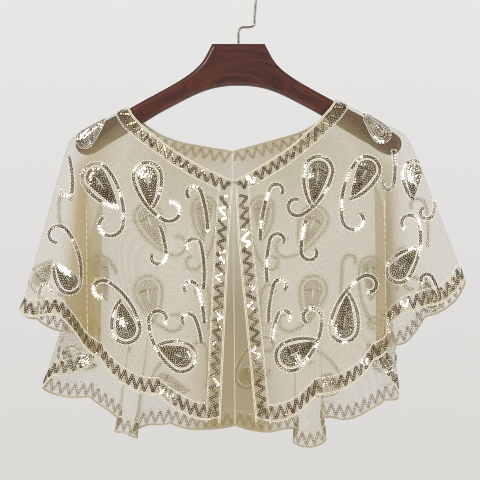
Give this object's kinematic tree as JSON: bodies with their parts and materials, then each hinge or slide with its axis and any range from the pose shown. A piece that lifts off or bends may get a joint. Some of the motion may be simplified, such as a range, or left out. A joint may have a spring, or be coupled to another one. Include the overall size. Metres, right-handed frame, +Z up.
{
  "type": "evening capelet on a wooden hanger",
  "caption": "Short sheer champagne evening capelet with sequinned paisleys and a scalloped hem, hung on a lacquered wooden hanger.",
  "frame": {"origin": "where the hanger's hook bears on a rail, at the top of the inside of its bend", "axes": "+Z up, the front of the capelet faces -Y, +X to the right of someone who looks at the front"},
  "size_m": [0.5142, 0.0781, 0.5444],
  "materials": {
    "net": "sheer champagne net with mirror sequins",
    "binding": "ivory bound edge",
    "wood": "red-brown satin lacquer",
    "steel": "polished"
  },
  "bodies": {
    "root": {"net_left": "net", "net_right": "net", "neck_binding_left": "binding", "neck_binding_right": "binding", "front_binding_left": "binding", "front_binding_right": "binding", "hem_binding_left": "binding", "hem_binding_right": "binding", "hanger_body": "wood", "hanger_hook": "steel", "closure_hook": "steel", "closure_eye": "steel"}
  },
  "joints": []
}
